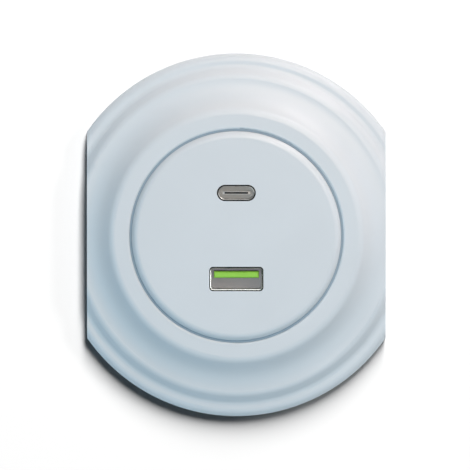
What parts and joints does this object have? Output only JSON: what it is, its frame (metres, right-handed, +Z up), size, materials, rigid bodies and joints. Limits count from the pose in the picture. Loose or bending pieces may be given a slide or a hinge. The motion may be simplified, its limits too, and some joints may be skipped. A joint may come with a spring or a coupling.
{
  "type": "usb wall socket",
  "caption": "Flush-mounted charging socket with a round stepped cover frame, flat-cut sides and a plain centre plate with USB-C and USB-A mouths.",
  "frame": {"origin": "middle of the two box-screw slots, on the plane of the wall's face", "axes": "+Z up the wall, -Y out of the wall towards the room, +X to the right as seen from the room"},
  "size_m": [0.071, 0.0371, 0.0864],
  "materials": {
    "cover": "glossy pale blue",
    "port_metal": "nickel-plated, satin",
    "tongue_green": "moulded green",
    "port_grey": "moulded grey",
    "port_black": "moulded black",
    "contact": "gold-flashed",
    "housing_white": "fine texture",
    "zinc_steel": "bright zinc",
    "board_green": "solder-masked laminate",
    "ferrite": "sintered, matt",
    "bobbin_black": "moulded",
    "tape_yellow": "wound tape",
    "tin": "tinned",
    "can": "bare can",
    "copper": "enamelled wire",
    "box_grey": "potted box",
    "disc_blue": "dipped",
    "fuse_brown": "moulded",
    "chip_black": "moulded",
    "terminal_body": "moulded dark grey",
    "brass": "turned"
  },
  "bodies": {
    "socket": {"cover_frame": "cover", "centre_plate": "cover", "usb_a_shell": "port_metal", "usb_a_insulator": "port_grey", "usb_a_tongue": "tongue_green", "usb_a_contacts": "contact", "usb_c_shell": "port_metal", "usb_c_tongue": "port_black", "usb_c_contacts": "contact", "usb_c_riser": "port_black", "front_cover": "housing_white", "rear_housing": "housing_white", "support_ring": "zinc_steel", "housing_screws": "zinc_steel", "port_board": "board_green", "mains_board": "board_green", "board_spacers": "housing_white", "link_pins": "tin", "transformer_core": "ferrite", "transformer_bobbin": "bobbin_black", "transformer_winding": "tape_yellow", "transformer_pins": "tin", "bulk_capacitors": "can", "output_capacitors": "can", "line_choke": "ferrite", "choke_winding": "copper", "interference_capacitor": "box_grey", "varistor": "disc_blue", "safety_capacitor": "disc_blue", "fuse": "fuse_brown", "bridge_rectifier": "chip_black", "power_controller": "chip_black", "optocoupler": "chip_black", "charge_controller": "chip_black", "terminal_blocks": "terminal_body", "terminal_cages": "brass", "terminal_screws": "zinc_steel", "claw_pin_right": "zinc_steel", "claw_pin_left": "zinc_steel"},
    "claw_right": {"claw_right": "zinc_steel"},
    "claw_screw_right": {"claw_screw_right": "zinc_steel"},
    "claw_nut_right": {"claw_nut_right": "brass"},
    "claw_left": {"claw_left": "zinc_steel"},
    "claw_screw_left": {"claw_screw_left": "zinc_steel"},
    "claw_nut_left": {"claw_nut_left": "brass"}
  },
  "joints": [
    {"name": "claw_screw_right_turn", "type": "hinge", "parent": "socket", "child": "claw_screw_right", "pos_m": [0.0234, 0, 0], "axis": [0, 1, 0], "range_deg": [0, 2153.34]},
    {"name": "claw_nut_right_feed", "type": "slide", "parent": "socket", "child": "claw_nut_right", "axis": [0, -1, 0], "range_m": [0, 0.00299]},
    {"name": "claw_right_swing", "type": "hinge", "parent": "socket", "child": "claw_right", "pos_m": [0.0188, 0.006, 0], "axis": [0, 0, -1], "range_deg": [0, 36.02]},
    {"name": "claw_screw_left_turn", "type": "hinge", "parent": "socket", "child": "claw_screw_left", "pos_m": [-0.0234, 0, 0], "axis": [0, 1, 0], "range_deg": [0, 2153.34]},
    {"name": "claw_nut_left_feed", "type": "slide", "parent": "socket", "child": "claw_nut_left", "axis": [0, -1, 0], "range_m": [0, 0.00299]},
    {"name": "claw_left_swing", "type": "hinge", "parent": "socket", "child": "claw_left", "pos_m": [-0.0188, 0.006, 0], "axis": [0, 0, 1], "range_deg": [0, 36.02]}
  ],
  "couplings": [
    {"joint": "claw_screw_right_turn", "follows": "claw_nut_right_feed", "rad_per_m": 12566},
    {"joint": "claw_right_swing", "follows": "claw_nut_right_feed", "rad_per_m": 210.19},
    {"joint": "claw_screw_left_turn", "follows": "claw_nut_left_feed", "rad_per_m": 12566},
    {"joint": "claw_left_swing", "follows": "claw_nut_left_feed", "rad_per_m": 210.19}
  ]
}
